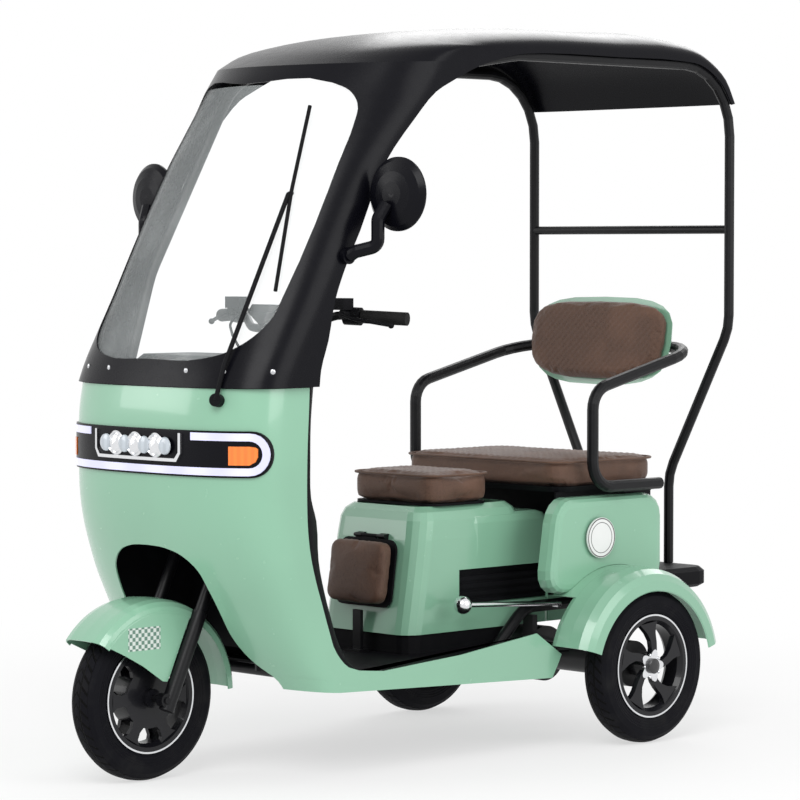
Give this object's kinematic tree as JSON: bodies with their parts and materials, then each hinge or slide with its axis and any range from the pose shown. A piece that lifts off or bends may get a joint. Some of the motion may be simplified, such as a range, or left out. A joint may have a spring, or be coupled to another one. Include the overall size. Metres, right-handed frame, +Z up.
{
  "type": "electric tricycle",
  "caption": "Electric passenger tricycle with a draped nose, wrapped windshield, long roof on tubes, rider's seat, small folding front seat and a rear bench with armrests.",
  "frame": {"origin": "middle of the bounding box at the ground", "axes": "-Y is the direction of travel, +X the rider's left, +Z up"},
  "size_m": [1.1244, 2.02, 1.916],
  "materials": {
    "mint_panel": "gloss",
    "gloss_black": "gloss",
    "black_moulding": "satin",
    "black_paint": "semi-gloss",
    "brown_leather": "soft grain",
    "bright_trim": "polished",
    "clear_glass": "clear",
    "lens_clear": "clear",
    "lens_orange": "clear",
    "lens_red": "clear",
    "axle_iron": "painted",
    "spring_steel": "satin",
    "battery_case": "matt",
    "soft_rubber": "matt",
    "tyre": "matt",
    "rim_alloy": "black with polished edges"
  },
  "bodies": {
    "chassis": {"frame": "black_paint", "floorboard": "black_moulding", "front_cowl": "mint_panel", "leg_shield": "black_moulding", "dashboard": "black_moulding", "wheel_arch_liner": "black_moulding", "lamp_band": "gloss_black", "head_lamps": "bright_trim", "light_guide": "lens_clear", "front_indicators": "lens_orange", "windshield_frame": "gloss_black", "windshield_glass": "clear_glass", "wiper": "black_moulding", "roof_panel": "gloss_black", "canopy_tubes": "black_paint", "mirrors": "gloss_black", "seat_box": "mint_panel", "side_vents": "black_moulding", "child_seat_bracket": "black_paint", "hand_brake": "bright_trim", "rear_core": "black_moulding", "side_panels": "mint_panel", "seat_hoop": "black_paint", "backrest_cushion": "brown_leather", "backrest_shell": "mint_panel", "rear_fenders": "mint_panel", "rear_bumper": "black_moulding", "tail_lamps": "lens_red", "rear_axle": "axle_iron", "rear_springs": "spring_steel", "battery": "battery_case"},
    "steering": {"steering_fork": "black_paint", "handlebar": "black_paint", "grips": "soft_rubber", "bar_controls": "black_moulding", "front_mudguard": "mint_panel", "brake_hose": "soft_rubber"},
    "front_wheel": {"front_tyre": "tyre", "front_rim": "rim_alloy"},
    "wheel_rear_left": {"rear_tyre_left": "tyre", "rear_rim_left": "rim_alloy"},
    "wheel_rear_right": {"rear_tyre_right": "tyre", "rear_rim_right": "rim_alloy"},
    "rider_seat": {"rider_cushion": "brown_leather", "rider_seat_plate": "black_moulding"},
    "bench_seat": {"bench_cushion": "brown_leather", "bench_plate": "black_moulding"},
    "child_seat": {"child_cushion": "brown_leather", "child_seat_plate": "black_moulding"}
  },
  "joints": [
    {"name": "steer", "type": "hinge", "parent": "chassis", "child": "steering", "pos_m": [0, -0.78519, 0.20039], "axis": [0, 0.4226, 0.9063], "range_deg": [-35, 35]},
    {"name": "front_wheel_spin", "type": "hinge", "parent": "steering", "child": "front_wheel", "pos_m": [0, -0.8015, 0.208], "axis": [1, 0, 0], "continuous": true},
    {"name": "rear_left_spin", "type": "hinge", "parent": "chassis", "child": "wheel_rear_left", "pos_m": [0.4315, 0.5825, 0.208], "axis": [1, 0, 0], "continuous": true},
    {"name": "rear_right_spin", "type": "hinge", "parent": "chassis", "child": "wheel_rear_right", "pos_m": [-0.4315, 0.5825, 0.208], "axis": [1, 0, 0], "continuous": true},
    {"name": "rider_seat_lid", "type": "hinge", "parent": "chassis", "child": "rider_seat", "pos_m": [0, 0.0375, 0.64], "axis": [1, 0, 0], "range_deg": [0, 70]},
    {"name": "bench_lid", "type": "hinge", "parent": "chassis", "child": "bench_seat", "pos_m": [0, 0.3725, 0.676], "axis": [1, 0, 0], "range_deg": [0, 60]},
    {"name": "child_seat_fold", "type": "hinge", "parent": "chassis", "child": "child_seat", "pos_m": [0, -0.021, 0.5665], "axis": [-1, 0, 0], "range_deg": [0, 85]}
  ]
}
